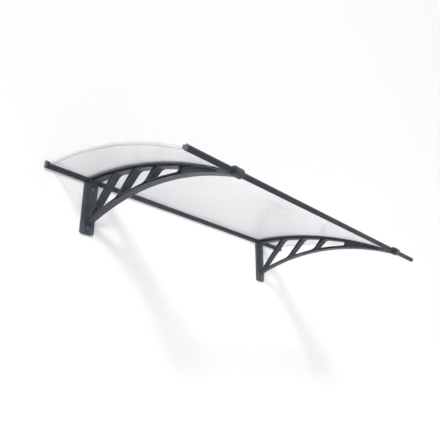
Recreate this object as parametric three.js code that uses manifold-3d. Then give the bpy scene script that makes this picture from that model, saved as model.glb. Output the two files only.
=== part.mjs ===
import * as THREE from 'three';
import { mergeVertices } from 'three/addons/utils/BufferGeometryUtils.js';
import Module from 'manifold-3d';

// Door awning: an arched twin-wall sheet carried by two moulded arms, with a rail along
// the wall and a rail along the front edge. Millimetres, +Z up, the wall is the plane Y = 0
// and the awning reaches out along -Y. Side views are drawn as (u, z), u = distance from the wall.

// Sheet
const SHEET_WIDTH = 1790;
const SHEET_THICKNESS = 6;
const PROJECTION = 918;
const ARCH_RADIUS = 2070;
const WALL_SLOPE = THREE.MathUtils.degToRad(2.1);
const SEAT_HEIGHT = 12.3;
const ARCH_FACETS = 8;
const FLUTE_PITCH = 22;
const SKIN = 0.8;
const FLUTE_WALL = 1.0;
const SEALED_EDGE = 8;

// Clearances
const FIT = 0.3;
const SLOT_END = 1.0;

// Rails
const RAIL_OVERHANG = 16;
const REAR_RAIL_DEPTH = 18;
const REAR_RAIL_DROP = 9;
const REAR_LIP_REACH = 14;
const REAR_BACK_WALL = 2.5;
const LIP_THICKNESS = 2.5;
const RAIL_WALL = 2;
const FRONT_RAIL_HALF_HEIGHT = 11.4;
const FRONT_RAIL_NOSE = 13;
const FRONT_RAIL_BEVEL = 6;
const FRONT_RAIL_SHOULDER = 2.5;
const FRONT_RAIL_LIP = 11;
const FRONT_LIP_HALF_HEIGHT = 6.6;
const CAP_THICKNESS = 3.8;
const CAP_RIM = 0.9;
const CAP_PLUG = 12;

// Side trims
const TRIM_WALL = 1.6;
const TRIM_LEG = 16;

// Arms
const ARM_INSET = 226.6;
const ARM_THICKNESS = 35;
const WEB_THICKNESS = 5;
const RIM = 3.5;
const GASKET_THICKNESS = 2;
const GASKET_WIDTH = 28;
const TOP_CHORD = 20;
const TOP_CHORD_FRONT = 12;
const LOWER_CHORD = 15;
const LOWER_RADIUS = 1215;
const LOWER_REAR_HEIGHT = -226.1;
const NOSE_ROOT = 11;
const STRUT_FOOT_SPAN = 20;
const STRUT_HEAD_SPAN = 29;
const STRUTS = [{ foot: 29, lean: 47.2 }, { foot: 244, lean: 46 }, { foot: 435, lean: 47.5 }];
const REAR_MEMBER = 14.2;
const LAST_OPENING_END = 645;
const LAST_OPENING_LEAN = 6.5;
const POCKET_END = 846;
const SHARP_CORNER = 4;
const BLUNT_CORNER = 22;
const SHARP_ANGLE = THREE.MathUtils.degToRad(40);
const BLUNT_ANGLE = THREE.MathUtils.degToRad(130);

// Wall plates and clips
const PLATE_WIDTH = 74;
const PLATE_THICKNESS = 10.3;
const PLATE_FOOT = -269.5;
const CLIP_TOP = 56;
const PLATE_CORNER = 14;

// Arm noses
const NOSE_WIDTH = 38;
const NOSE_HALF_LENGTH = 22.5;
const NOSE_HALF_HEIGHT = 19.5;
const NOSE_CENTRE = 10;
const NOSE_SCREW_PLACE = 24;
const LUG_WIDTH = 16;

// Fasteners
const SHANK_RADIUS = 3;
const HEAD_RADIUS = 6;
const HEAD_HEIGHT = 3.5;
const COVER_RADIUS = 9;
const COVER_HEIGHT = 8;
const BOSS_RADIUS = 9.5;
const WALL_SCREW_UPPER = -49;
const WALL_SCREW_LOWER = -241;
const NOSE_HEAD_RADIUS = 5;
const NOSE_HEAD_HEIGHT = 4;

const wasm = await Module();
wasm.setup();

// A closed three.js geometry as a solid that can be joined and cut.
function solid(geometry) {
  const bare = geometry.index ? geometry.toNonIndexed() : geometry.clone();
  bare.deleteAttribute('normal');
  bare.deleteAttribute('uv');
  const merged = mergeVertices(bare, 1e-3);
  return new wasm.Manifold(new wasm.Mesh({
    numProp: 3,
    vertProperties: new Float32Array(merged.attributes.position.array),
    triVerts: new Uint32Array(merged.index.array),
  }));
}

function geometryOf(shape) {
  const mesh = shape.getMesh();
  const geometry = new THREE.BufferGeometry();
  geometry.setAttribute('position', new THREE.BufferAttribute(mesh.vertProperties, 3));
  geometry.setIndex(new THREE.BufferAttribute(mesh.triVerts, 1));
  geometry.computeVertexNormals();
  return geometry;
}

const SIDE_VIEW = new THREE.Matrix4().makeBasis(
  new THREE.Vector3(0, -1, 0), new THREE.Vector3(0, 0, 1), new THREE.Vector3(-1, 0, 0));

// A side-view outline made solid from fromX to toX.
function slab(shape, fromX, toX, curveSegments = 5) {
  const options = { depth: toX - fromX, bevelEnabled: false, curveSegments };
  const geometry = new THREE.ExtrudeGeometry(shape, options);
  return geometry.applyMatrix4(SIDE_VIEW).translate(toX, 0, 0);
}

// The arch: its underside is an arc in equal facets from the rear slot to the front edge.
const ARCH_U = -ARCH_RADIUS * Math.sin(WALL_SLOPE);
const ARCH_Z = SEAT_HEIGHT - ARCH_RADIUS * Math.cos(WALL_SLOPE);
const SHEET_REAR = REAR_BACK_WALL + SLOT_END;
const THETA_REAR = Math.asin((SHEET_REAR - ARCH_U) / ARCH_RADIUS);
const THETA_FRONT = Math.asin((PROJECTION - ARCH_U) / (ARCH_RADIUS + SHEET_THICKNESS / 2));
const FACET = (THETA_FRONT - THETA_REAR) / ARCH_FACETS;

function facetMiddle(theta) {
  const index = Math.floor((theta - THETA_REAR) / FACET);
  return THETA_REAR + (THREE.MathUtils.clamp(index, 0, ARCH_FACETS - 1) + 0.5) * FACET;
}

// A point of the arch at an angle, raised by offset above the sheet's underside.
function archPoint(theta, offset) {
  const apothem = (ARCH_RADIUS + offset) * Math.cos(FACET / 2);
  const radius = apothem / Math.cos(theta - facetMiddle(theta));
  return new THREE.Vector2(ARCH_U + radius * Math.sin(theta), ARCH_Z + radius * Math.cos(theta));
}

function archTheta(u, offset) {
  let theta = THETA_REAR;
  for (let pass = 0; pass < 8; pass++) {
    theta += (u - archPoint(theta, offset).x) / ARCH_RADIUS;
  }
  return theta;
}

function archHeight(u, offset) {
  return archPoint(archTheta(u, offset), offset).y;
}

// The arch's points between two angles, both included.
function archLine(fromTheta, toTheta, offset) {
  const points = [archPoint(fromTheta, offset)];
  for (let k = 1; k < ARCH_FACETS; k++) {
    const theta = THETA_REAR + k * FACET;
    if (theta > fromTheta + 1e-4 && theta < toTheta - 1e-4) points.push(archPoint(theta, offset));
  }
  points.push(archPoint(toTheta, offset));
  return points;
}

function archBand(fromTheta, toTheta, low, high) {
  return new THREE.Shape([
    ...archLine(fromTheta, toTheta, low), ...archLine(fromTheta, toTheta, high).reverse()]);
}

// The front rail's own axes: s forward along the sheet, n square to it, from the sheet's front edge.
const RAIL_TILT = facetMiddle(THETA_FRONT - FACET / 4);
const RAIL_ORIGIN = archPoint(THETA_FRONT, SHEET_THICKNESS / 2);

function atRail(s, n) {
  return new THREE.Vector2(
    RAIL_ORIGIN.x + s * Math.cos(RAIL_TILT) + n * Math.sin(RAIL_TILT),
    RAIL_ORIGIN.y - s * Math.sin(RAIL_TILT) + n * Math.cos(RAIL_TILT));
}

function railShape(points) {
  return new THREE.Shape(points.map(([s, n]) => atRail(s, n)));
}

function railBlock(fromS, toS, fromN, toN, fromX, toX) {
  const corners = [[fromS, fromN], [toS, fromN], [toS, toN], [fromS, toN]];
  return solid(slab(railShape(corners), fromX, toX));
}

// Outline of the front rail without its slot, grown by grow: a bevelled tube and, behind it, a thinner lip.
function frontRailOutline(grow) {
  const h = FRONT_RAIL_HALF_HEIGHT + grow;
  const lip = FRONT_LIP_HALF_HEIGHT + grow;
  const flat = FRONT_RAIL_NOSE - FRONT_RAIL_BEVEL;
  const nose = FRONT_RAIL_NOSE + grow;
  const tip = h - FRONT_RAIL_BEVEL;
  const shoulder = SLOT_END + RAIL_WALL - grow;
  const root = shoulder - FRONT_RAIL_SHOULDER;
  const back = -FRONT_RAIL_LIP - grow;
  const lower = [[back, -lip], [root, -lip], [shoulder, -h], [flat, -h], [nose, -tip]];
  return [...lower, ...lower.map(([s, n]) => [s, -n]).reverse()];
}

function frontRailChamber(shrink) {
  const h = FRONT_RAIL_HALF_HEIGHT - RAIL_WALL - shrink;
  const flat = FRONT_RAIL_NOSE - FRONT_RAIL_BEVEL;
  const nose = FRONT_RAIL_NOSE - RAIL_WALL - shrink;
  const tip = h - FRONT_RAIL_BEVEL + RAIL_WALL;
  const back = SLOT_END + RAIL_WALL + shrink;
  return [[back, -h], [flat, -h], [nose, -tip], [nose, tip], [flat, h], [back, h]];
}

const RAIL_HALF = SHEET_WIDTH / 2 + RAIL_OVERHANG;

function frontRail() {
  const outline = frontRailOutline(0);
  const slot = SHEET_THICKNESS / 2 + FIT;
  outline.push([-FRONT_RAIL_LIP, slot], [SLOT_END, slot], [SLOT_END, -slot], [-FRONT_RAIL_LIP, -slot]);
  const shape = railShape(outline);
  shape.holes.push(new THREE.Path(frontRailChamber(0).map(([s, n]) => atRail(s, n))));
  return slab(shape, -RAIL_HALF, RAIL_HALF);
}

function frontRailCap(side) {
  const face = side * (RAIL_HALF + FIT);
  const outer = face + side * CAP_THICKNESS;
  const plug = face - side * CAP_PLUG;
  const lid = solid(slab(railShape(frontRailOutline(CAP_RIM)), Math.min(face, outer), Math.max(face, outer)));
  const core = railShape(frontRailChamber(FIT));
  return geometryOf(lid.add(solid(slab(core, Math.min(plug, outer), Math.max(plug, outer)))));
}

// Rear rail: a hollow box under the sheet, a back web and a lip over the sheet.
const REAR_LIP_LOW = SHEET_THICKNESS + FIT;
const REAR_LIP_HIGH = REAR_LIP_LOW + LIP_THICKNESS;

function rearRailTop(u) {
  return archHeight(u, REAR_LIP_HIGH);
}

function rearRail() {
  const shape = new THREE.Shape([
    new THREE.Vector2(0, -REAR_RAIL_DROP),
    new THREE.Vector2(REAR_RAIL_DEPTH - 2, -REAR_RAIL_DROP),
    new THREE.Vector2(REAR_RAIL_DEPTH, 2 - REAR_RAIL_DROP),
    new THREE.Vector2(REAR_RAIL_DEPTH, archHeight(REAR_RAIL_DEPTH, -FIT)),
    new THREE.Vector2(REAR_BACK_WALL, archHeight(REAR_BACK_WALL, -FIT)),
    new THREE.Vector2(REAR_BACK_WALL, archHeight(REAR_BACK_WALL, REAR_LIP_LOW)),
    new THREE.Vector2(REAR_LIP_REACH, archHeight(REAR_LIP_REACH, REAR_LIP_LOW)),
    new THREE.Vector2(REAR_LIP_REACH, rearRailTop(REAR_LIP_REACH)),
    new THREE.Vector2(0, rearRailTop(0)),
  ]);
  shape.holes.push(new THREE.Path(rearChamber(0)));
  return slab(shape, -RAIL_HALF, RAIL_HALF);
}

function rearChamber(shrink) {
  const low = -REAR_RAIL_DROP + RAIL_WALL + shrink;
  const high = archHeight(REAR_RAIL_DEPTH, -FIT) - RAIL_WALL - shrink;
  const back = RAIL_WALL + shrink;
  const front = REAR_RAIL_DEPTH - RAIL_WALL - shrink;
  return [[back, low], [front, low], [front, high], [back, high]].map(([u, z]) => new THREE.Vector2(u, z));
}

function rearRailCap(side) {
  const face = side * (RAIL_HALF + FIT);
  const outer = face + side * CAP_THICKNESS;
  const plug = face - side * CAP_PLUG;
  const front = REAR_RAIL_DEPTH + CAP_RIM;
  const low = -REAR_RAIL_DROP - CAP_RIM;
  const high = rearRailTop(0) + CAP_RIM;
  const outline = new THREE.Shape([
    new THREE.Vector2(0, low), new THREE.Vector2(front - 3, low), new THREE.Vector2(front, low + 3),
    new THREE.Vector2(front, high - 7), new THREE.Vector2(front - 5, high), new THREE.Vector2(0, high)]);
  const lid = solid(slab(outline, Math.min(face, outer), Math.max(face, outer)));
  const core = new THREE.Shape(rearChamber(FIT));
  return geometryOf(lid.add(solid(slab(core, Math.min(plug, outer), Math.max(plug, outer)))));
}

// The sheet: two skins joined by walls, with open flutes that run from the wall to the front.
function roofPanel() {
  const half = SHEET_WIDTH / 2;
  const band = archBand(THETA_REAR, THETA_FRONT, 0, SHEET_THICKNESS);
  const flute = archBand(THETA_REAR - FACET, THETA_FRONT + FACET, SKIN, SHEET_THICKNESS - SKIN);
  const sheet = solid(slab(band, -half, half));
  const count = Math.floor((SHEET_WIDTH - 2 * SEALED_EDGE) / FLUTE_PITCH);
  const flutes = [];
  for (let k = 0; k < count; k++) {
    const middleX = (k - (count - 1) / 2) * FLUTE_PITCH;
    const room = (FLUTE_PITCH - FLUTE_WALL) / 2;
    flutes.push(solid(slab(flute, middleX - room, middleX + room)));
  }
  return geometryOf(sheet.subtract(wasm.Manifold.union(flutes)));
}

// Side trim: a U over the sheet's side edge, between the two rails.
const TRIM_FROM = archTheta(REAR_RAIL_DEPTH + FIT, 0);
const TRIM_TO = THETA_FRONT - (FRONT_RAIL_LIP + FIT + CAP_RIM) / ARCH_RADIUS;

function sideTrim(side) {
  const edge = SHEET_WIDTH / 2;
  const low = -FIT - TRIM_WALL;
  const high = SHEET_THICKNESS + FIT + TRIM_WALL;
  const block = solid(spanSlab(archBand(TRIM_FROM, TRIM_TO, low, high),
    side * (edge - TRIM_LEG), side * (edge + FIT + TRIM_WALL)));
  const room = solid(spanSlab(archBand(TRIM_FROM - FACET, TRIM_TO + FACET, -FIT, SHEET_THICKNESS + FIT),
    side * (edge - TRIM_LEG - 1), side * (edge + FIT)));
  return geometryOf(block.subtract(room));
}

function spanSlab(shape, oneX, otherX) {
  return slab(shape, Math.min(oneX, otherX), Math.max(oneX, otherX));
}

// Arm curves: the top follows the arch, the underside is an arc of its own.
const ARM_PLACE = SHEET_WIDTH / 2 - ARM_INSET;
const ARM_TOP = -GASKET_THICKNESS - 2 * FIT;
const NOSE_JOIN = RAIL_ORIGIN.x - 8;
const LOWER_REAR = new THREE.Vector2(0, LOWER_REAR_HEIGHT);
const LOWER_FRONT = new THREE.Vector2(NOSE_JOIN, archHeight(NOSE_JOIN, ARM_TOP) - NOSE_ROOT);
const LOWER_CENTRE = arcCentre(LOWER_REAR, LOWER_FRONT, LOWER_RADIUS);

// Centre of the arc of that radius that rises between two points.
function arcCentre(start, end, radius) {
  const half = start.distanceTo(end) / 2;
  const along = end.clone().sub(start).normalize();
  const down = new THREE.Vector2(along.y, -along.x);
  return start.clone().lerp(end, 0.5).addScaledVector(down, Math.sqrt(radius * radius - half * half));
}

function lowerChord(u, lift) {
  const reach = LOWER_RADIUS + lift;
  return LOWER_CENTRE.y + Math.sqrt(reach * reach - (u - LOWER_CENTRE.x) ** 2);
}

function lowerLine(fromU, toU, lift, steps) {
  const points = [];
  for (let k = 0; k <= steps; k++) {
    const u = THREE.MathUtils.lerp(fromU, toU, k / steps);
    points.push(new THREE.Vector2(u, lowerChord(u, lift)));
  }
  return points;
}

// Where a strut's rear edge meets a height curve above the lower chord.
function strutMeets({ foot, lean }, curve) {
  const angle = THREE.MathUtils.degToRad(lean);
  const footZ = lowerChord(foot, LOWER_CHORD);
  let low = 0;
  let high = 400;
  for (let pass = 0; pass < 40; pass++) {
    const length = (low + high) / 2;
    const u = foot + length * Math.cos(angle);
    if (footZ + length * Math.sin(angle) < curve(u)) low = length;
    else high = length;
  }
  return new THREE.Vector2(foot + low * Math.cos(angle), footZ + low * Math.sin(angle));
}

// The top chord gets thinner towards the front.
function topChordUnder(u) {
  const thickness = THREE.MathUtils.lerp(TOP_CHORD, TOP_CHORD_FRONT, u / LAST_OPENING_END);
  return archHeight(u, ARM_TOP - thickness);
}

function onTopChord(u) {
  return new THREE.Vector2(u, topChordUnder(u));
}

function onLowerChord(u) {
  return new THREE.Vector2(u, lowerChord(u, LOWER_CHORD));
}

// The four openings between the chords, the rear member and the struts, which widen upwards.
function openingCorners() {
  const rearU = PLATE_THICKNESS + REAR_MEMBER;
  const heads = STRUTS.map((strut) => strutMeets(strut, topChordUnder));
  const rearEdges = STRUTS.map(({ foot }, k) => [onLowerChord(foot), heads[k]]);
  const frontEdges = STRUTS.map(({ foot }, k) => [
    onTopChord(heads[k].x + STRUT_HEAD_SPAN), onLowerChord(foot + STRUT_FOOT_SPAN)]);
  const lastFoot = STRUTS[STRUTS.length - 1].foot + STRUT_FOOT_SPAN;
  const starts = [[onTopChord(rearU), onLowerChord(rearU)], ...frontEdges];
  const ends = [...rearEdges, [
    onLowerChord((lastFoot + LAST_OPENING_END) / 2),
    onLowerChord(LAST_OPENING_END - LAST_OPENING_LEAN),
    onTopChord(LAST_OPENING_END)]];
  return starts.map((start, k) => [...start, ...ends[k]]);
}

// A closed outline moved outward by distance, corner by corner (outward for anticlockwise corners).
function grown(corners, distance) {
  const count = corners.length;
  return corners.map((corner, k) => {
    const before = corner.clone().sub(corners[(k + count - 1) % count]).normalize();
    const after = corners[(k + 1) % count].clone().sub(corner).normalize();
    const normal = new THREE.Vector2(before.y + after.y, -before.x - after.x).normalize();
    const spread = normal.dot(new THREE.Vector2(before.y, -before.x));
    return corner.clone().addScaledVector(normal, distance / spread);
  });
}

// A closed path through the corners: blunt ones are well rounded, sharp ones only a little.
function roundedPath(corners, more) {
  const path = new THREE.Path();
  const count = corners.length;
  corners.forEach((corner, k) => {
    const before = corners[(k + count - 1) % count];
    const after = corners[(k + 1) % count];
    const toBefore = corner.distanceTo(before);
    const toAfter = corner.distanceTo(after);
    const angle = before.clone().sub(corner).angleTo(after.clone().sub(corner));
    const bluntness = THREE.MathUtils.clamp((angle - SHARP_ANGLE) / (BLUNT_ANGLE - SHARP_ANGLE), 0, 1);
    const wanted = THREE.MathUtils.lerp(SHARP_CORNER, BLUNT_CORNER, bluntness) + more;
    const cut = Math.min(wanted, 0.45 * toBefore, 0.45 * toAfter);
    const start = corner.clone().lerp(before, cut / toBefore);
    const end = corner.clone().lerp(after, cut / toAfter);
    if (k === 0) path.moveTo(start.x, start.y);
    else path.lineTo(start.x, start.y);
    path.quadraticCurveTo(corner.x, corner.y, end.x, end.y);
  });
  path.closePath();
  return path;
}

// Side outline of the arm between plate and nose, kept inset inside its real edge.
function armOutline(inset, rearU, frontU) {
  const notchU = REAR_RAIL_DEPTH + FIT + inset;
  const notchZ = -REAR_RAIL_DROP - FIT - inset;
  const top = archLine(archTheta(notchU, ARM_TOP - inset), archTheta(frontU, ARM_TOP - inset), ARM_TOP - inset);
  return [
    ...lowerLine(rearU, frontU, inset, 20),
    ...top.reverse(),
    new THREE.Vector2(notchU, notchZ),
    new THREE.Vector2(rearU, notchZ),
  ];
}

const PLATE_TOP = -REAR_RAIL_DROP - FIT;

function armBody(middleX) {
  const half = ARM_THICKNESS / 2;
  const corners = openingCorners();
  const outline = new THREE.Shape(armOutline(0, PLATE_THICKNESS / 2, NOSE_JOIN));
  for (const opening of corners) outline.holes.push(roundedPath(opening, 0));
  const pocket = new THREE.Shape(armOutline(RIM, PLATE_THICKNESS + RIM, POCKET_END));
  for (const opening of corners) pocket.holes.push(roundedPath(grown(opening, RIM), RIM));
  let body = solid(slab(outline, middleX - half, middleX + half));
  for (const side of [-1, 1]) {
    const web = middleX + side * WEB_THICKNESS / 2;
    body = body.subtract(solid(spanSlab(pocket, web, middleX + side * (half + 1))));
  }
  return body;
}

// Wall plate in front view, from the foot up to the rear rail.
function plateBlock(middleX, lowZ, highZ, thickness, roundLow) {
  const half = PLATE_WIDTH / 2;
  const shape = new THREE.Shape();
  const r = PLATE_CORNER;
  const low = roundLow ? lowZ : -highZ;
  const high = roundLow ? highZ : -lowZ;
  shape.moveTo(-half, high);
  shape.lineTo(-half, low + r);
  shape.quadraticCurveTo(-half, low, -half + r, low);
  shape.lineTo(half - r, low);
  shape.quadraticCurveTo(half, low, half, low + r);
  shape.lineTo(half, high);
  shape.closePath();
  const geometry = new THREE.ExtrudeGeometry(shape, { depth: thickness, bevelEnabled: false, curveSegments: 4 });
  geometry.rotateX(Math.PI / 2);
  if (!roundLow) geometry.rotateY(Math.PI);
  return solid(geometry.translate(middleX, 0, 0));
}

// Round bar square to the wall, from fromU to toU.
function wallBar(middleX, z, radius, fromU, toU, sides = 16) {
  const bar = new THREE.CylinderGeometry(radius, radius, toU - fromU, sides);
  return solid(bar.translate(0, -(fromU + toU) / 2, 0).translate(middleX, 0, z));
}

// Nose of the arm: an oval block round the front rail, split into jaw and clamp.
function noseBlock(middleX) {
  const centre = atRail(NOSE_CENTRE, 0);
  const shape = new THREE.Shape();
  shape.absellipse(centre.x, centre.y, NOSE_HALF_LENGTH, NOSE_HALF_HEIGHT, 0, 2 * Math.PI, false, -RAIL_TILT);
  const half = NOSE_WIDTH / 2;
  return solid(slab(shape, middleX - half, middleX + half, 12));
}

const LUG_START = FRONT_RAIL_NOSE + FIT + 2;
const FAR = 60;

function railRoom(middleX) {
  const half = NOSE_WIDTH / 2 + 1;
  return solid(slab(railShape(frontRailOutline(FIT)), middleX - half, middleX + half));
}

function noseScrewBar(middleX, radius, fromX, toX) {
  const place = atRail(NOSE_SCREW_PLACE, 0);
  const bar = new THREE.CylinderGeometry(radius, radius, toX - fromX, 16).rotateZ(Math.PI / 2);
  return solid(bar.translate(middleX + (fromX + toX) / 2, -place.x, place.y));
}

function noseJaw(middleX) {
  const half = NOSE_WIDTH / 2 + 1;
  const lug = LUG_WIDTH / 2;
  const under = railBlock(-FAR, LUG_START, -FAR, 0, middleX - half, middleX + half);
  const root = railBlock(LUG_START - 1, FAR, -FAR, 0, middleX - lug, middleX + lug);
  const middle = railBlock(LUG_START, FAR, -1, FAR, middleX - lug, middleX + lug);
  return noseBlock(middleX).intersect(under.add(root).add(middle));
}

function noseClamp(middleX) {
  const half = NOSE_WIDTH / 2 + 1;
  const lug = LUG_WIDTH / 2 + FIT;
  const over = railBlock(-FRONT_RAIL_LIP, LUG_START - FIT, FIT, FAR, middleX - half, middleX + half);
  let region = over;
  for (const side of [-1, 1]) {
    const inner = middleX + side * lug;
    const outer = middleX + side * half;
    const fromX = Math.min(inner, outer);
    const toX = Math.max(inner, outer);
    region = region.add(railBlock(LUG_START - FIT - 1, FAR, FIT, FAR, fromX, toX));
    region = region.add(railBlock(LUG_START + FIT, FAR, -FAR, FAR, fromX, toX));
  }
  const clamp = noseBlock(middleX).intersect(region).subtract(railRoom(middleX));
  const face = NOSE_WIDTH / 2;
  return geometryOf(clamp
    .subtract(noseScrewBar(middleX, SHANK_RADIUS + FIT, -half, half))
    .subtract(noseScrewBar(middleX, NOSE_HEAD_RADIUS + FIT, -half, -face + NOSE_HEAD_HEIGHT + FIT))
    .subtract(noseScrewBar(middleX, NOSE_HEAD_RADIUS + FIT, face - NOSE_HEAD_HEIGHT - FIT, half)));
}

// Screw across the nose: round head on one side, round nut on the other.
function noseScrew(middleX) {
  const face = NOSE_WIDTH / 2;
  const shank = noseScrewBar(middleX, SHANK_RADIUS, -face + 1, face - NOSE_HEAD_HEIGHT - FIT);
  return geometryOf(shank.add(noseScrewBar(middleX, NOSE_HEAD_RADIUS, -face, -face + NOSE_HEAD_HEIGHT)));
}

function noseNut(middleX) {
  const face = NOSE_WIDTH / 2;
  return geometryOf(noseScrewBar(middleX, NOSE_HEAD_RADIUS, face - NOSE_HEAD_HEIGHT, face));
}

// One arm: wall plate, ribbed body, nose jaw, bosses and screw holes in one moulding.
function arm(side) {
  const middleX = side * ARM_PLACE;
  const member = PLATE_THICKNESS + REAR_MEMBER;
  let moulding = armBody(middleX).add(plateBlock(middleX, PLATE_FOOT, PLATE_TOP, PLATE_THICKNESS, true));
  moulding = moulding.add(wallBar(middleX, WALL_SCREW_UPPER, BOSS_RADIUS, 1, member));
  moulding = moulding.add(noseJaw(middleX)).subtract(railRoom(middleX));
  const half = NOSE_WIDTH / 2 + 1;
  moulding = moulding.subtract(railBlock(-FAR, -FRONT_RAIL_LIP, ARM_TOP - SHEET_THICKNESS / 2, FAR,
    middleX - half, middleX + half));
  moulding = moulding.subtract(noseScrewBar(middleX, SHANK_RADIUS + FIT, -half, half));
  moulding = moulding.subtract(wallBar(middleX, WALL_SCREW_UPPER, SHANK_RADIUS + FIT, -1, member + 1));
  moulding = moulding.subtract(wallBar(middleX, WALL_SCREW_LOWER, SHANK_RADIUS + FIT, -1, PLATE_THICKNESS + 1));
  return geometryOf(moulding);
}

// Soft strip between the arm's top and the sheet.
function armGasket(side) {
  const middleX = side * ARM_PLACE;
  const half = GASKET_WIDTH / 2;
  const front = THETA_FRONT - (FRONT_RAIL_LIP + 2 * CAP_RIM) / ARCH_RADIUS;
  const band = archBand(TRIM_FROM, front, -FIT - GASKET_THICKNESS, -FIT);
  return slab(band, middleX - half, middleX + half);
}

// Clip above the rear rail: a plate on the wall with a step that rests on the rail's lip.
function railClip(side) {
  const middleX = side * ARM_PLACE;
  const foot = rearRailTop(0) + FIT;
  const block = plateBlock(middleX, foot, CLIP_TOP, PLATE_THICKNESS, false);
  const hole = wallBar(middleX, clipScrewHeight(), SHANK_RADIUS + FIT, -1, PLATE_THICKNESS + 1);
  return geometryOf(block.subtract(hole));
}

function clipScrewHeight() {
  return (rearRailTop(0) + FIT + CLIP_TOP) / 2;
}

// Turned pieces stand on the wall side with their axis square to it.
function turned(profile, sides) {
  return new THREE.LatheGeometry(profile.map(([r, h]) => new THREE.Vector2(r, h)), sides);
}

function wallScrew(seat) {
  const base = seat + FIT;
  const profile = [
    [0, FIT], [SHANK_RADIUS, FIT], [SHANK_RADIUS, base], [HEAD_RADIUS, base],
    [HEAD_RADIUS, base + HEAD_HEIGHT * 0.5], [HEAD_RADIUS * 0.6, base + HEAD_HEIGHT], [0, base + HEAD_HEIGHT]];
  return turned(profile, 12).rotateX(Math.PI);
}

function screwCover(seat) {
  const base = seat + FIT;
  const inside = HEAD_RADIUS + FIT;
  const ceiling = base + HEAD_HEIGHT + FIT;
  const profile = [[inside, base], [COVER_RADIUS, base]];
  for (let k = 1; k <= 5; k++) {
    const angle = (k / 5) * Math.PI / 2;
    profile.push([COVER_RADIUS * Math.cos(angle), base + 1 + (COVER_HEIGHT - 1) * Math.sin(angle)]);
  }
  profile[profile.length - 1][0] = 0;
  profile.push([0, ceiling], [inside, ceiling], [inside, base]);
  return turned(profile, 16).rotateX(Math.PI);
}

const LOOKS = {
  sheet: { color: 0xe9ecee, roughness: 0.25, metalness: 0 },
  trim: { color: 0xd9dcde, roughness: 0.35, metalness: 0 },
  rail: { color: 0x484c54, roughness: 0.4, metalness: 0.3 },
  moulding: { color: 0x565a63, roughness: 0.5, metalness: 0 },
  cap: { color: 0x5f6369, roughness: 0.5, metalness: 0 },
  gasket: { color: 0x1c1d20, roughness: 0.8, metalness: 0 },
  steel: { color: 0xb4b6b8, roughness: 0.3, metalness: 1 },
};

const awning = new THREE.Group();

function put(name, geometry, look, position) {
  const mesh = new THREE.Mesh(geometry, new THREE.MeshStandardMaterial(LOOKS[look]));
  mesh.name = name;
  if (position) mesh.position.copy(position);
  awning.add(mesh);
}

put('roof_panel', roofPanel(), 'sheet');
put('front_rail', frontRail(), 'rail');
put('rear_rail', rearRail(), 'rail');
for (const [side, word] of [[-1, 'left'], [1, 'right']]) {
  const middleX = side * ARM_PLACE;
  put(`side_trim_${word}`, sideTrim(side), 'trim');
  put(`front_rail_cap_${word}`, frontRailCap(side), 'cap');
  put(`rear_rail_cap_${word}`, rearRailCap(side), 'cap');
  put(`arm_${word}`, arm(side), 'moulding');
  put(`arm_gasket_${word}`, armGasket(side), 'gasket');
  put(`nose_clamp_${word}`, noseClamp(middleX), 'moulding');
  put(`nose_screw_${word}`, noseScrew(middleX), 'steel');
  put(`nose_nut_${word}`, noseNut(middleX), 'steel');
  put(`rail_clip_${word}`, railClip(side), 'moulding');
  const member = PLATE_THICKNESS + REAR_MEMBER;
  const places = [
    ['upper', member, WALL_SCREW_UPPER], ['lower', PLATE_THICKNESS, WALL_SCREW_LOWER],
    ['clip', PLATE_THICKNESS, clipScrewHeight()]];
  for (const [place, seat, z] of places) {
    put(`wall_screw_${place}_${word}`, wallScrew(seat), 'steel', new THREE.Vector3(middleX, 0, z));
    put(`screw_cover_${place}_${word}`, screwCover(seat), 'cap', new THREE.Vector3(middleX, 0, z));
  }
}

export default awning;
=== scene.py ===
import math

import bmesh
import bpy
from mathutils import Matrix, Vector


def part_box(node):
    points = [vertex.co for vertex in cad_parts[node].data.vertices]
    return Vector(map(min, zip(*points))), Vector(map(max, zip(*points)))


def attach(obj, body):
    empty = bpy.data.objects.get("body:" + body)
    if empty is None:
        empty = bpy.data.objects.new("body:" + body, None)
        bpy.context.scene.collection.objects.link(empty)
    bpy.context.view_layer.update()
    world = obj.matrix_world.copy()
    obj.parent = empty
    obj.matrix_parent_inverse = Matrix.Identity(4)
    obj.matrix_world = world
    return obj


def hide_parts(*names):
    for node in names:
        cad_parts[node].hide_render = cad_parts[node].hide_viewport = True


# Door awning, dressed: the arched twin-wall sheet and its trims are built smooth, and the
# rails, arms, caps and screws get soft edges and their finishes. Metres, +Z up, wall at Y = 0.

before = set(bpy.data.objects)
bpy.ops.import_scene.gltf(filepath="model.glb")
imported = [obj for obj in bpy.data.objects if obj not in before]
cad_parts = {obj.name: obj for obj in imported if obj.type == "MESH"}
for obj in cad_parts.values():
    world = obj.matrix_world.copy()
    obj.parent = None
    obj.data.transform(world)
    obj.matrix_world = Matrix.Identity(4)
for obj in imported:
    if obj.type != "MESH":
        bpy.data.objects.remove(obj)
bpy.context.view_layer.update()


def colour(red, green, blue):
    """A colour as seen on screen, 0 to 255, as the linear colour that a shader takes."""
    def linear(value):
        share = value / 255
        return share / 12.92 if share <= 0.04045 else ((share + 0.055) / 1.055) ** 2.4
    return (linear(red), linear(green), linear(blue), 1.0)


MM = 0.001
SIDES = (("left", -1), ("right", 1))

# Arch, shared by sheet, trims and gaskets
ARCH_RADIUS = 2070 * MM
WALL_SLOPE = math.radians(2.1)
SEAT_HEIGHT = 12.3 * MM
ARCH_STEPS = 36

# The arch's centre line runs along X at this distance from the wall and this height.
ARCH_CENTRE = Vector((0, ARCH_RADIUS * math.sin(WALL_SLOPE),
                      SEAT_HEIGHT - ARCH_RADIUS * math.cos(WALL_SLOPE)))

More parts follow.
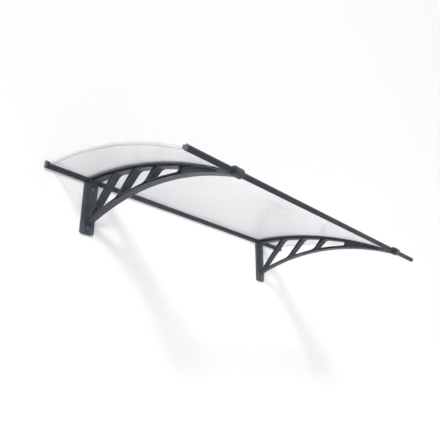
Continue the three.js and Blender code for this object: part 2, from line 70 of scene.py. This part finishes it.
# Sheet
SHEET_WIDTH = 1790 * MM
SHEET_THICKNESS = 6 * MM
SHEET_REAR = 3.5 * MM
SHEET_FRONT = 918 * MM
SKIN = 0.7 * MM
RIB = 0.7 * MM
RIB_PITCH = 13 * MM
SEALED_EDGE = 8 * MM

# Arms
ARM_PLACE = 668.4 * MM
ARM_HALF = 17.5 * MM

# Side trims and gaskets
FIT = 0.3 * MM
TRIM_WALL = 1.6 * MM
TRIM_LEG = 16 * MM
TRIM_REAR = 18.5 * MM
TRIM_FRONT = 904 * MM
GASKET_THICKNESS = 2 * MM

# Screw covers: a rim, a dome on it, and a bore from below
COVER_RADIUS = 9 * MM
COVER_HEIGHT = 8 * MM
COVER_RIM = 1.4 * MM
COVER_BORE = 6.3 * MM
COVER_BORE_DEPTH = 3.9 * MM
COVER_STEPS = 8

# Nose screws, and the dark ring that stands round each head as a painted shade of a recess; heights
# are over the nose's left face
SHANK_RADIUS = 3 * MM
HEAD_RADIUS = 3.6 * MM
HEAD_FOOT = -1 * MM
HEAD_SHOULDER = 0.7 * MM
HEAD_TOP = 1.1 * MM
RING_BORE = 3.9 * MM
RING_RADIUS = 9 * MM
RING_FOOT = 0.05 * MM
RING_FLOOR = 0.3 * MM
RING_SHOULDER = 0.9 * MM
RING_TOP = 1.2 * MM
RING_CREST_RADIUS = 8.4 * MM
RING_LIP_RADIUS = 7.9 * MM
RING_FLOOR_RADIUS = 7.7 * MM
TURNED_SIDES = 40

# Soft edges
ARM_EDGE = 0.9 * MM
CLAMP_EDGE = 0.7 * MM
CAP_EDGE = 0.7 * MM
TRIM_EDGE = 0.7 * MM
RAIL_EDGE = 0.5 * MM
GASKET_EDGE = 0.5 * MM
NUT_EDGE = 0.4 * MM
SCREW_EDGE = 0.3 * MM
EDGE_SEGMENTS = 2
SOFTENED_ANGLE = math.radians(32)
SHARP_ANGLE = math.radians(30)
SHARP_TURNED_ANGLE = math.radians(35)
FLAT_ANGLE = math.radians(0.6)
MERGE_DISTANCE = 0.005 * MM
TURNED_MERGE_DISTANCE = 0.002 * MM

# Tones: each pair is the darker and the lighter end of a surface's slow drift
MOULDING_TONES = (colour(53, 57, 63), colour(60, 64, 71))
RAIL_TONES = (colour(46, 51, 58), colour(52, 57, 64))
CAP_TONES = (colour(76, 80, 88), colour(86, 90, 98))
GASKET_TONES = (colour(24, 25, 28), colour(32, 33, 36))
STEEL_TONES = (colour(104, 106, 110), colour(124, 126, 130))
TRIM_TONES = (colour(230, 230, 231), colour(246, 246, 247))
SHEET_TONES = (colour(245, 245, 246), colour(249, 249, 250))
RIB_LINE_TONE = colour(186, 186, 188)
# Painted shade: the sheet's tone over and beside each arm.
NEAR_ARM_PAINTED_SHADE = colour(128, 131, 136)
# Painted light on the arms: the recesses keep a plain factor as painted shade, and the rims' flat
# faces a lighter one as a painted highlight.
POCKET_SHADE_TINT = (1.0, 1.01, 1.03, 1)
RIM_HIGHLIGHT_TINT = (1.62, 1.63, 1.66, 1)

# Where the tones change: either side of a rib, in the painted shade beside an arm, and in the
# painted highlight down from a rim's flat face
RIB_LINE_HALF = 3.0 * MM
NEAR_ARM_SHADE_REACH = 32 * MM
RIM_HIGHLIGHT_FADE = (1.6 * MM, 0.2 * MM)

# Shares of the light that the sheet scatters, and that pass straight through each surface
SHEET_MILK = 0.3
SHEET_CLEAR = 0.0
SHEET_SHADOW_CLEAR = 0.92
TRIM_CLEAR = 0.35
TRIM_SHADOW_CLEAR = 0.8

# Camera and room
CAMERA_PLACE = Vector((-1.8508, -1.9071, -0.9726))
CAMERA_HEADING = math.radians(48.119)
CAMERA_RISE = math.radians(19.833)
CAMERA_LENS = 39.48
CAMERA_SENSOR = 36
CAMERA_REACH = 60
WALL_GAP = 0.5 * MM
ROOM_SIZE = 14.0
FLOOR_DROP = 2.2
LIGHT_TRAVEL = Vector((0.8, 1.0, -0.66))
KEY_STRENGTH = 1.98
KEY_SPREAD = math.radians(12)
SKY_STRENGTH = 0.6
BACKDROP_LIFT = 0.04
ROOM_PAINT = (0.86, 0.86, 0.86, 1)
WHITE = (1, 1, 1, 1)


def node(tree, kind, place=(0, 0), **settings):
    made = tree.nodes.new(kind)
    made.location = place
    for name, value in settings.items():
        setattr(made, name, value)
    return made


def feed(tree, socket, value):
    """Links the value to the socket if it comes from another node, else sets it."""
    if isinstance(value, bpy.types.NodeSocket):
        tree.links.new(value, socket)
    else:
        socket.default_value = value


def maths(tree, place, operation, *values):
    made = node(tree, "ShaderNodeMath", place, operation=operation)
    for socket, value in zip(made.inputs, values):
        feed(tree, socket, value)
    return made.outputs[0]


def vector_maths(tree, place, operation, *values):
    made = node(tree, "ShaderNodeVectorMath", place, operation=operation)
    for socket, value in zip(made.inputs, values):
        feed(tree, socket, value)
    return made.outputs["Value" if operation == "LENGTH" else "Vector"]


def mixed_value(tree, place, factor, first, second):
    """The value that lies that factor of the way from first to second."""
    made = node(tree, "ShaderNodeMix", place, data_type="FLOAT")
    sockets = [socket for socket in made.inputs if socket.type == "VALUE"]
    for socket, value in zip(sockets, (factor, first, second)):
        feed(tree, socket, value)
    return made.outputs[0]


def mixed_colour(tree, place, factor, first, second, blend="MIX"):
    """The colour that lies that factor of the way from first to second."""
    made = node(tree, "ShaderNodeMix", place, data_type="RGBA", blend_type=blend)
    sockets = [socket for socket in made.inputs if socket.type == "RGBA"]
    feed(tree, made.inputs["Factor"], factor)
    feed(tree, sockets[0], first)
    feed(tree, sockets[1], second)
    return next(socket for socket in made.outputs if socket.type == "RGBA")


def remapped(tree, place, value, source=(0.0, 1.0), target=(0.0, 1.0), curve="LINEAR"):
    """The value moved from the source range to the target range, and kept within it."""
    made = node(tree, "ShaderNodeMapRange", place, interpolation_type=curve)
    feed(tree, made.inputs["Value"], value)
    made.inputs["From Min"].default_value, made.inputs["From Max"].default_value = source
    made.inputs["To Min"].default_value, made.inputs["To Max"].default_value = target
    return made.outputs[0]


def bumped(tree, place, height, strength, distance):
    made = node(tree, "ShaderNodeBump", place)
    made.inputs["Strength"].default_value = strength
    made.inputs["Distance"].default_value = distance
    feed(tree, made.inputs["Height"], height)
    return made.outputs["Normal"]


def noise(tree, place, vector, scale, detail, roughness=0.5):
    made = node(tree, "ShaderNodeTexNoise", place)
    feed(tree, made.inputs["Vector"], vector)
    feed(tree, made.inputs["Scale"], scale)
    made.inputs["Detail"].default_value = detail
    made.inputs["Roughness"].default_value = roughness
    return made.outputs["Fac"]


def new_group(name, inputs, outputs):
    """A shader node group with float or vector inputs and outputs, and its two end nodes."""
    group = bpy.data.node_groups.new(name, "ShaderNodeTree")
    for label, kind, value in inputs:
        socket = group.interface.new_socket(label, in_out="INPUT", socket_type=kind)
        if value is not None:
            socket.default_value = value
    for label, kind in outputs:
        group.interface.new_socket(label, in_out="OUTPUT", socket_type=kind)
    entry = node(group, "NodeGroupInput", (-900, 0))
    leave = node(group, "NodeGroupOutput", (700, 0))
    return group, entry, leave


def fine_grain_group():
    """Fine skin of moulded plastic or powder coat: a height from two sizes of noise."""
    group, entry, leave = new_group(
        "fine_grain",
        [("Vector", "NodeSocketVector", None), ("Grain Scale", "NodeSocketFloat", 900.0),
         ("Orange Peel", "NodeSocketFloat", 0.4)],
        [("Height", "NodeSocketFloat")])
    vector, scale, peel = (entry.outputs[k] for k in ("Vector", "Grain Scale", "Orange Peel"))
    fine = noise(group, (-600, 150), vector, scale, detail=3.0)
    broad_scale = maths(group, (-780, -220), "MULTIPLY", scale, 0.18)
    broad = noise(group, (-600, -150), vector, broad_scale, detail=1.0)
    height = mixed_value(group, (-200, 0), peel, fine, broad)
    group.links.new(height, leave.inputs["Height"])
    return group


def handling_group():
    """Slow change over a surface: cloudy tone and a mask of faint rubbed and dusty patches."""
    group, entry, leave = new_group(
        "handling",
        [("Vector", "NodeSocketVector", None), ("Patch Scale", "NodeSocketFloat", 9.0)],
        [("Tone", "NodeSocketFloat"), ("Patches", "NodeSocketFloat")])
    vector, scale = entry.outputs["Vector"], entry.outputs["Patch Scale"]
    cloud = noise(group, (-600, 150), vector, scale, detail=4.0)
    finer_scale = maths(group, (-780, -220), "MULTIPLY", scale, 3.7)
    rubs = noise(group, (-600, -150), vector, finer_scale, detail=6.0, roughness=0.65)
    patches = remapped(group, (-200, -150), rubs, source=(0.45, 0.75))
    group.links.new(cloud, leave.inputs["Tone"])
    group.links.new(patches, leave.inputs["Patches"])
    return group


FINE_GRAIN = fine_grain_group()
HANDLING = handling_group()


def blank_material(name):
    """A material with its node tree, shader, object coordinates and output."""
    material = bpy.data.materials.new(name)
    material.use_nodes = True
    tree = material.node_tree
    tree.nodes.clear()
    output = node(tree, "ShaderNodeOutputMaterial", (900, 0))
    shader = node(tree, "ShaderNodeBsdfPrincipled", (500, 0))
    coordinates = node(tree, "ShaderNodeTexCoord", (-900, 0))
    tree.links.new(shader.outputs["BSDF"], output.inputs["Surface"])
    return material, tree, shader, coordinates.outputs["Object"], output


def coated(name, tones, roughness, grain_scale, grain_depth, orange_peel, stretch=(1, 1, 1)):
    """Opaque finish with a fine skin: its tone drifts, and faint patches dull it a little."""
    material, tree, shader, place, _ = blank_material(name)
    link = tree.links.new
    along = node(tree, "ShaderNodeMapping", (-700, 0))
    along.inputs["Scale"].default_value = stretch
    link(place, along.inputs["Vector"])
    handling = node(tree, "ShaderNodeGroup", (-450, 200), node_tree=HANDLING)
    grain = node(tree, "ShaderNodeGroup", (-450, -250), node_tree=FINE_GRAIN)
    grain.inputs["Grain Scale"].default_value = grain_scale
    grain.inputs["Orange Peel"].default_value = orange_peel
    link(along.outputs["Vector"], handling.inputs["Vector"])
    link(place, grain.inputs["Vector"])
    link(mixed_colour(tree, (-150, 250), handling.outputs["Tone"], *tones),
         shader.inputs["Base Color"])
    link(remapped(tree, (-150, 0), handling.outputs["Patches"],
                  target=(roughness - 0.04, roughness + 0.08)), shader.inputs["Roughness"])
    link(bumped(tree, (150, -250), grain.outputs["Height"], strength=0.5, distance=grain_depth),
         shader.inputs["Normal"])
    return material, shader


def from_arm(tree, place):
    """Distance in X from the middle of the nearer arm."""
    split = node(tree, "ShaderNodeSeparateXYZ", (-700, 900))
    tree.links.new(place, split.inputs[0])
    outward = maths(tree, (-540, 900), "ABSOLUTE", split.outputs["X"])
    away = maths(tree, (-380, 900), "SUBTRACT", outward, ARM_PLACE)
    return maths(tree, (-220, 900), "ABSOLUTE", away)


def moulding_finish():
    """Anthracite plastic with painted light: the arms' rims' flat faces are tinted lighter as a
    painted highlight, and their recesses stay darker as painted shade.
    """
    material, shader = coated(
        "moulded_anthracite_plastic", MOULDING_TONES, roughness=0.46, grain_scale=700,
        grain_depth=0.10 * MM, orange_peel=0.35)
    tree = material.node_tree
    tone = shader.inputs["Base Color"].links[0].from_socket
    place = node(tree, "ShaderNodeTexCoord", (-900, 900)).outputs["Object"]
    # Painted highlight on the rims' flat faces, against painted shade in the recesses between them.
    fade = tuple(ARM_HALF - step for step in RIM_HIGHLIGHT_FADE)
    lit_rim_mask = remapped(tree, (50, 900), from_arm(tree, place), source=fade, curve="SMOOTHSTEP")
    light_and_shade_tint = mixed_colour(tree, (50, 600), lit_rim_mask, POCKET_SHADE_TINT, RIM_HIGHLIGHT_TINT)
    faces = mixed_colour(tree, (250, 500), 1.0, tone, light_and_shade_tint, blend="MULTIPLY")
    tree.links.new(faces, shader.inputs["Base Color"])
    shader.inputs["IOR"].default_value = 1.5
    shader.inputs["Specular IOR Level"].default_value = 0.36
    return material


def rail_finish():
    material, shader = coated(
        "powder_coated_aluminium", RAIL_TONES, roughness=0.5, grain_scale=1100,
        grain_depth=0.06 * MM, orange_peel=0.6, stretch=(0.15, 1, 1))
    shader.inputs["Specular IOR Level"].default_value = 0.2
    return material


def cap_finish():
    material, _ = coated(
        "grey_moulded_caps", CAP_TONES, roughness=0.42, grain_scale=800,
        grain_depth=0.08 * MM, orange_peel=0.3)
    return material


# Black rubber of the gaskets; the ring round each nose screw also takes it, as a painted shade.
def gasket_finish():
    material, _ = coated(
        "black_sealing_rubber", GASKET_TONES, roughness=0.72, grain_scale=500,
        grain_depth=0.15 * MM, orange_peel=0.7)
    return material


def steel_finish():
    material, shader = coated(
        "blackened_screw_steel", STEEL_TONES, roughness=0.34, grain_scale=2500,
        grain_depth=0.03 * MM, orange_peel=0.1)
    shader.inputs["Metallic"].default_value = 1.0
    return material


def rib_lines(tree, place):
    """Mask that is 1 where the ribs stand on the sheet's lower skin, at even steps of X."""
    split = node(tree, "ShaderNodeSeparateXYZ", (-700, 300))
    tree.links.new(place, split.inputs[0])
    steps = maths(tree, (-540, 300), "DIVIDE", split.outputs["X"], RIB_PITCH)
    away = maths(tree, (-380, 300), "PINGPONG", steps, 0.5)
    lines = remapped(tree, (-220, 300), away, source=(0.5 - RIB_LINE_HALF / RIB_PITCH, 0.5),
                     curve="SMOOTHSTEP")
    from_centre = vector_maths(tree, (-540, 120), "SUBTRACT", place, ARCH_CENTRE)
    upright = vector_maths(tree, (-380, 120), "MULTIPLY", from_centre, (0, 1, 1))
    height = vector_maths(tree, (-220, 120), "LENGTH", upright)
    lower = maths(tree, (-60, 120), "LESS_THAN", height, ARCH_RADIUS + SHEET_THICKNESS / 2)
    return maths(tree, (100, 200), "MULTIPLY", lines, lower)


def let_light_through(tree, surface, output, clear_share, shadow_share):
    """Passes the clear share of the view straight on, and the shadow share of shadow rays."""
    path = node(tree, "ShaderNodeLightPath", (300, 500))
    amount = remapped(tree, (500, 400), path.outputs["Is Shadow Ray"],
                      target=(clear_share, shadow_share))
    clear = node(tree, "ShaderNodeBsdfTransparent", (500, 250))
    mix = node(tree, "ShaderNodeMixShader", (720, 200))
    link = tree.links.new
    link(amount, mix.inputs["Fac"])
    link(surface, mix.inputs[1])
    link(clear.outputs["BSDF"], mix.inputs[2])
    link(mix.outputs[0], output.inputs["Surface"])


def sheet_finish():
    """Milky twin-wall plastic: grey lines below the ribs, and a painted shade, a darker band, over
    and beside each arm.
    """
    material, tree, shader, place, output = blank_material("milky_twin_wall_sheet")
    link = tree.links.new
    lines = rib_lines(tree, place)
    haze = node(tree, "ShaderNodeGroup", (-450, 600), node_tree=HANDLING)
    haze.inputs["Patch Scale"].default_value = 5.0
    link(place, haze.inputs["Vector"])
    body = mixed_colour(tree, (-150, 600), haze.outputs["Tone"], *SHEET_TONES)
    lined = mixed_colour(tree, (50, 500), lines, body, RIB_LINE_TONE)
    # Painted shade: a darker band on the sheet over and beside each arm.
    arm_shade_mask = remapped(tree, (50, 900), from_arm(tree, place), curve="SMOOTHERSTEP",
                    source=(ARM_HALF + NEAR_ARM_SHADE_REACH, ARM_HALF - NEAR_ARM_SHADE_REACH / 2))
    lined_and_shaded = mixed_colour(tree, (250, 600), arm_shade_mask, lined, NEAR_ARM_PAINTED_SHADE)
    link(lined_and_shaded, shader.inputs["Base Color"])
    link(remapped(tree, (-150, 0), haze.outputs["Patches"], target=(0.29, 0.35)),
         shader.inputs["Roughness"])
    link(bumped(tree, (150, -250), lines, strength=0.4, distance=0.25 * MM),
         shader.inputs["Normal"])
    shader.inputs["IOR"].default_value = 1.4
    shader.inputs["Transmission Weight"].default_value = 0.85
    glow = node(tree, "ShaderNodeBsdfTranslucent", (500, -500))
    link(lined_and_shaded, glow.inputs["Color"])
    milk = node(tree, "ShaderNodeMixShader", (720, -150))
    milk.inputs["Fac"].default_value = SHEET_MILK
    link(shader.outputs["BSDF"], milk.inputs[1])
    link(glow.outputs["BSDF"], milk.inputs[2])
    let_light_through(tree, milk.outputs[0], output, SHEET_CLEAR, SHEET_SHADOW_CLEAR)
    return material


def trim_finish():
    """Pale, slightly see-through edge profile with faint draw lines along its length."""
    material, tree, shader, place, output = blank_material("pale_edge_profile")
    link = tree.links.new
    along = node(tree, "ShaderNodeMapping", (-700, 200))
    along.inputs["Scale"].default_value = (400, 3, 3)
    link(place, along.inputs["Vector"])
    streak = noise(tree, (-500, 200), along.outputs["Vector"], 1.0, detail=3.0)
    link(mixed_colour(tree, (-150, 250), streak, *TRIM_TONES), shader.inputs["Base Color"])
    link(bumped(tree, (150, -250), streak, strength=0.3, distance=0.1 * MM),
         shader.inputs["Normal"])
    shader.inputs["Roughness"].default_value = 0.3
    shader.inputs["IOR"].default_value = 1.5
    shader.inputs["Transmission Weight"].default_value = 0.3
    let_light_through(tree, shader.outputs["BSDF"], output, TRIM_CLEAR, TRIM_SHADOW_CLEAR)
    return material


FINISHES = {
    "sheet": sheet_finish(),
    "trim": trim_finish(),
    "rail": rail_finish(),
    "moulding": moulding_finish(),
    "cap": cap_finish(),
    "gasket": gasket_finish(),
    "steel": steel_finish(),
}


def smooth_by_angle(mesh, limit=SHARP_ANGLE):
    for face in mesh.polygons:
        face.use_smooth = True
    mesh.set_sharp_from_angle(angle=limit)


def finish_piece(name, mesh, slot, *nodes):
    """The mesh as a piece of the awning, in place of those nodes."""
    piece = bpy.data.objects.new(name, mesh)
    bpy.context.scene.collection.objects.link(piece)
    mesh.materials.clear()
    mesh.materials.append(FINISHES[slot])
    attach(piece, "root")
    if nodes:
        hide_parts(*nodes)
    return piece


def soften(piece, width):
    bevel = piece.modifiers.new("soft_edges", "BEVEL")
    bevel.width = width
    bevel.segments = EDGE_SEGMENTS
    bevel.limit_method = "ANGLE"
    bevel.angle_limit = SOFTENED_ANGLE
    bevel.harden_normals = True
    bevel.profile = 0.5


def dressed(name, slot, edge):
    """A copy of a frame node with its flat faces joined and its edges softened."""
    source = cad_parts[name]
    mesh = source.data.copy()
    mesh.transform(source.matrix_world)
    shell = bmesh.new()
    shell.from_mesh(mesh)
    bmesh.ops.remove_doubles(shell, verts=shell.verts, dist=MERGE_DISTANCE)
    bmesh.ops.dissolve_limit(
        shell, angle_limit=FLAT_ANGLE, verts=shell.verts, edges=shell.edges,
        use_dissolve_boundaries=False)
    shell.to_mesh(mesh)
    shell.free()
    smooth_by_angle(mesh)
    piece = finish_piece(f"dressed_{name}", mesh, slot, name)
    soften(piece, edge)


def arch_angle(reach):
    """Angle from straight up at which the arch is that far from the wall."""
    return math.asin((reach + ARCH_CENTRE.y) / ARCH_RADIUS)


def sweep_over_arch(shell, from_angle, to_angle, steps):
    """Turns the section drawn upright over the arch's centre and sweeps it to the front."""
    turn = Matrix.Rotation(from_angle, 3, "X")
    bmesh.ops.rotate(shell, verts=shell.verts, cent=ARCH_CENTRE, matrix=turn)
    bmesh.ops.spin(
        shell, geom=shell.faces[:], cent=ARCH_CENTRE, axis=(1, 0, 0),
        angle=to_angle - from_angle, steps=steps, use_duplicate=False)
    bmesh.ops.recalc_face_normals(shell, faces=shell.faces)


def section_start(shell, x, heights):
    """A standing line of edges at x above the arch's centre, at those heights over its radius."""
    top = ARCH_CENTRE.z + ARCH_RADIUS
    verts = [shell.verts.new((x, ARCH_CENTRE.y, top + height)) for height in heights]
    return [shell.edges.new(pair) for pair in zip(verts, verts[1:])]


def widen(shell, edges, distance):
    """Draws the standing line of edges sideways and gives the new line and the faces between."""
    drawn = bmesh.ops.extrude_edge_only(shell, edges=edges)["geom"]
    verts = [item for item in drawn if isinstance(item, bmesh.types.BMVert)]
    faces = [item for item in drawn if isinstance(item, bmesh.types.BMFace)]
    bmesh.ops.translate(shell, verts=verts, vec=(distance, 0, 0))
    fresh = [item for item in drawn if isinstance(item, bmesh.types.BMEdge)]
    moved = set(verts)
    line = [edge for edge in fresh if edge.verts[0] in moved and edge.verts[1] in moved]
    line.sort(key=lambda edge: min(vert.co.z for vert in edge.verts))
    faces.sort(key=lambda face: face.calc_center_median().z)
    return line, faces


def roof_panel():
    """Twin-wall sheet: two skins and the ribs between them, with open channels front to back."""
    shell = bmesh.new()
    count = int((SHEET_WIDTH - 2 * SEALED_EDGE) / RIB_PITCH)
    # An odd number of channels puts one on the middle line, where rib_lines expects it.
    count -= 1 - count % 2
    margin = (SHEET_WIDTH - count * RIB_PITCH + RIB) / 2
    heights = (0, SKIN, SHEET_THICKNESS - SKIN, SHEET_THICKNESS)
    line = section_start(shell, -SHEET_WIDTH / 2, heights)
    line, _ = widen(shell, line, margin)
    cores = []
    for k in range(count):
        line, faces = widen(shell, line, RIB_PITCH - RIB)
        cores.append(faces[1])
        line, _ = widen(shell, line, RIB if k < count - 1 else margin)
    bmesh.ops.delete(shell, geom=cores, context="FACES_ONLY")
    sweep_over_arch(shell, arch_angle(SHEET_REAR), arch_angle(SHEET_FRONT), ARCH_STEPS)
    mesh = bpy.data.meshes.new("roof_panel_sheet")
    shell.to_mesh(mesh)
    shell.free()
    smooth_by_angle(mesh)
    finish_piece("twin_wall_sheet", mesh, "sheet", "roof_panel")


def side_trim(word, side):
    """U profile over one side edge of the sheet."""
    shell = bmesh.new()
    low = -FIT - TRIM_WALL
    high = SHEET_THICKNESS + FIT + TRIM_WALL
    outer = SHEET_WIDTH / 2 + FIT + TRIM_WALL
    line = section_start(shell, outer, (low, -FIT, SHEET_THICKNESS + FIT, high))
    line, _ = widen(shell, line, -TRIM_WALL)
    line, faces = widen(shell, line, -TRIM_LEG)
    bmesh.ops.delete(shell, geom=[faces[1]], context="FACES_ONLY")
    if side < 0:
        bmesh.ops.scale(shell, vec=(-1, 1, 1), verts=shell.verts)
    sweep_over_arch(shell, arch_angle(TRIM_REAR), arch_angle(TRIM_FRONT), ARCH_STEPS)
    mesh = bpy.data.meshes.new(f"side_trim_{word}_profile")
    shell.to_mesh(mesh)
    shell.free()
    smooth_by_angle(mesh)
    piece = finish_piece(f"edge_profile_{word}", mesh, "trim", f"side_trim_{word}")
    soften(piece, TRIM_EDGE)


def arm_gasket(word):
    """Soft strip on the arm's top, under the sheet."""
    low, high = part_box(f"arm_gasket_{word}")
    shell = bmesh.new()
    line = section_start(shell, low.x, (-FIT - GASKET_THICKNESS, -FIT))
    widen(shell, line, high.x - low.x)
    sweep_over_arch(shell, arch_angle(-high.y), arch_angle(-low.y), ARCH_STEPS)
    mesh = bpy.data.meshes.new(f"arm_gasket_{word}_strip")
    shell.to_mesh(mesh)
    shell.free()
    smooth_by_angle(mesh)
    piece = finish_piece(f"sealing_strip_{word}", mesh, "gasket", f"arm_gasket_{word}")
    soften(piece, GASKET_EDGE)


def turned(name, profile, centre, axis, slot, *replaced):
    """A piece turned from a profile of (radius, height) points, standing on centre along axis."""
    shell = bmesh.new()
    verts = [shell.verts.new((r, 0, h)) for r, h in profile]
    edges = [shell.edges.new(pair) for pair in zip(verts, verts[1:])]
    bmesh.ops.spin(
        shell, geom=verts + edges, cent=(0, 0, 0), axis=(0, 0, 1), angle=2 * math.pi,
        steps=TURNED_SIDES, use_merge=True, use_duplicate=False)
    bmesh.ops.remove_doubles(shell, verts=shell.verts, dist=TURNED_MERGE_DISTANCE)
    bmesh.ops.recalc_face_normals(shell, faces=shell.faces)
    stand = Vector((0, 0, 1)).rotation_difference(axis).to_matrix().to_4x4()
    bmesh.ops.transform(shell, matrix=Matrix.Translation(centre) @ stand, verts=shell.verts)
    mesh = bpy.data.meshes.new(name)
    shell.to_mesh(mesh)
    shell.free()
    smooth_by_angle(mesh, SHARP_TURNED_ANGLE)
    finish_piece(name, mesh, slot, *replaced)


def screw_cover(word, place):
    """Round domed cover over a wall screw: a short rim, then a low dome, hollow below."""
    replaced = f"screw_cover_{place}_{word}"
    low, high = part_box(replaced)
    centre = (low + high) / 2
    base = Vector((centre.x, high.y, centre.z))
    dome = COVER_HEIGHT - COVER_RIM
    profile = [(COVER_BORE, 0), (COVER_RADIUS, 0), (COVER_RADIUS, COVER_RIM)]
    for k in range(1, COVER_STEPS):
        angle = k / COVER_STEPS * math.pi / 2
        profile.append((COVER_RADIUS * math.cos(angle), COVER_RIM + dome * math.sin(angle)))
    profile += [(0, COVER_HEIGHT), (0, COVER_BORE_DEPTH), (COVER_BORE, COVER_BORE_DEPTH),
                (COVER_BORE, 0)]
    outward = Vector((0, -1, 0))
    turned(f"domed_cover_{place}_{word}", profile, base, outward, "cap", replaced)


def nose_screw(word):
    """Cross screw of the arm's nose, and a dark ring round its head on the nose's left face, a
    painted shade of the recess round the head.
    """
    replaced = f"nose_screw_{word}"
    low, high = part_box(replaced)
    centre = (low + high) / 2
    face = Vector((low.x, centre.y, centre.z))
    outward = Vector((-1, 0, 0))
    shank = low.x - high.x
    screw = [(0, shank), (SHANK_RADIUS, shank), (SHANK_RADIUS, HEAD_FOOT),
             (HEAD_RADIUS, HEAD_FOOT), (HEAD_RADIUS, HEAD_SHOULDER),
             (SHANK_RADIUS, HEAD_TOP), (0, HEAD_TOP)]
    turned(f"cross_screw_{word}", screw, face, outward, "steel", replaced)
    # Painted shade: a ring in the dark gasket finish stands for the shaded recess round the head.
    recess_shade_ring = [(RING_BORE, RING_FOOT), (RING_RADIUS, RING_FOOT), (RING_RADIUS, RING_SHOULDER),
            (RING_CREST_RADIUS, RING_TOP), (RING_LIP_RADIUS, RING_SHOULDER),
            (RING_FLOOR_RADIUS, RING_FLOOR), (RING_BORE, RING_FLOOR), (RING_BORE, RING_FOOT)]
    turned(f"screw_recess_shade_{word}", recess_shade_ring, face, outward, "gasket")


roof_panel()
for word, side in SIDES:
    side_trim(word, side)
    arm_gasket(word)
    dressed(f"arm_{word}", "moulding", ARM_EDGE)
    dressed(f"nose_clamp_{word}", "moulding", CLAMP_EDGE)
    dressed(f"rail_clip_{word}", "moulding", ARM_EDGE)
    dressed(f"front_rail_cap_{word}", "cap", CAP_EDGE)
    dressed(f"rear_rail_cap_{word}", "cap", CAP_EDGE)
    nose_screw(word)
    dressed(f"nose_nut_{word}", "steel", NUT_EDGE)
    for place in ("upper", "lower", "clip"):
        dressed(f"wall_screw_{place}_{word}", "steel", SCREW_EDGE)
        screw_cover(word, place)
dressed("front_rail", "rail", RAIL_EDGE)
dressed("rear_rail", "rail", RAIL_EDGE)


def seen_directly(tree):
    """1 where the eye meets the room straight, in a reflection or through the sheet, else 0."""
    rays = node(tree, "ShaderNodeLightPath", (-800, -100)).outputs
    either = maths(tree, (-600, -100), "MAXIMUM", rays["Is Camera Ray"], rays["Is Glossy Ray"])
    return maths(tree, (-400, -100), "MAXIMUM", either, rays["Is Transmission Ray"])


def one_sided_white(name):
    """White seen from the front only: it keeps the awning's shadow, and is clear from behind."""
    material = bpy.data.materials.new(name)
    material.use_nodes = True
    tree = material.node_tree
    tree.nodes.clear()
    link = tree.links.new
    output = node(tree, "ShaderNodeOutputMaterial", (700, 0))
    paint = node(tree, "ShaderNodeBsdfDiffuse", (0, 150))
    paint.inputs["Color"].default_value = ROOM_PAINT
    lift = maths(tree, (-150, -50), "MULTIPLY", seen_directly(tree), BACKDROP_LIFT)
    glow = node(tree, "ShaderNodeEmission", (0, -50))
    both = node(tree, "ShaderNodeAddShader", (200, 50))
    clear = node(tree, "ShaderNodeBsdfTransparent", (200, -150))
    face = node(tree, "ShaderNodeNewGeometry", (200, 350))
    mix = node(tree, "ShaderNodeMixShader", (450, 0))
    link(lift, glow.inputs["Strength"])
    link(paint.outputs[0], both.inputs[0])
    link(glow.outputs[0], both.inputs[1])
    link(face.outputs["Backfacing"], mix.inputs["Fac"])
    link(both.outputs[0], mix.inputs[1])
    link(clear.outputs[0], mix.inputs[2])
    link(mix.outputs[0], output.inputs["Surface"])
    return material


def stage_plane(name, centre, turn, finish):
    """Square stage piece whose face looks along its own +Z, turned about X."""
    shell = bmesh.new()
    bmesh.ops.create_grid(shell, x_segments=1, y_segments=1, size=ROOM_SIZE / 2)
    bmesh.ops.rotate(shell, verts=shell.verts, cent=(0, 0, 0), matrix=Matrix.Rotation(turn, 3, "X"))
    bmesh.ops.translate(shell, verts=shell.verts, vec=centre)
    mesh = bpy.data.meshes.new(name)
    shell.to_mesh(mesh)
    shell.free()
    plane = bpy.data.objects.new(name, mesh)
    bpy.context.scene.collection.objects.link(plane)
    mesh.materials.append(finish)
    plane.visible_shadow = False


def studio():
    finish = one_sided_white("plain_white_room")
    stage_plane("wall", (0, WALL_GAP, ROOM_SIZE / 2 - FLOOR_DROP), math.radians(90), finish)
    stage_plane("floor", (0, WALL_GAP - ROOM_SIZE / 2, -FLOOR_DROP), 0, finish)

    key = bpy.data.lights.new("key", "SUN")
    key.energy = KEY_STRENGTH
    key.angle = KEY_SPREAD
    lamp = bpy.data.objects.new("key", key)
    lamp.location = -2 * LIGHT_TRAVEL
    lamp.rotation_euler = LIGHT_TRAVEL.to_track_quat("-Z", "Y").to_euler()
    bpy.context.scene.collection.objects.link(lamp)

    world = bpy.data.worlds.new("soft_white_surround")
    bpy.context.scene.world = world
    world.use_nodes = True
    tree = world.node_tree
    background = tree.nodes["Background"]
    background.inputs["Color"].default_value = WHITE
    level = remapped(tree, (-300, 0), seen_directly(tree), target=(SKY_STRENGTH, 1.0))
    tree.links.new(level, background.inputs["Strength"])


def camera():
    data = bpy.data.cameras.new("camera")
    data.lens = CAMERA_LENS
    data.sensor_width = CAMERA_SENSOR
    data.clip_end = CAMERA_REACH
    look = Vector((
        math.sin(CAMERA_HEADING) * math.cos(CAMERA_RISE),
        math.cos(CAMERA_HEADING) * math.cos(CAMERA_RISE),
        math.sin(CAMERA_RISE)))
    eye = bpy.data.objects.new("camera", data)
    eye.location = CAMERA_PLACE
    eye.rotation_euler = look.to_track_quat("-Z", "Y").to_euler()
    bpy.context.scene.collection.objects.link(eye)
    bpy.context.scene.camera = eye


studio()
camera()
bpy.context.scene.view_settings.view_transform = "Standard"

bpy.context.view_layer.update()
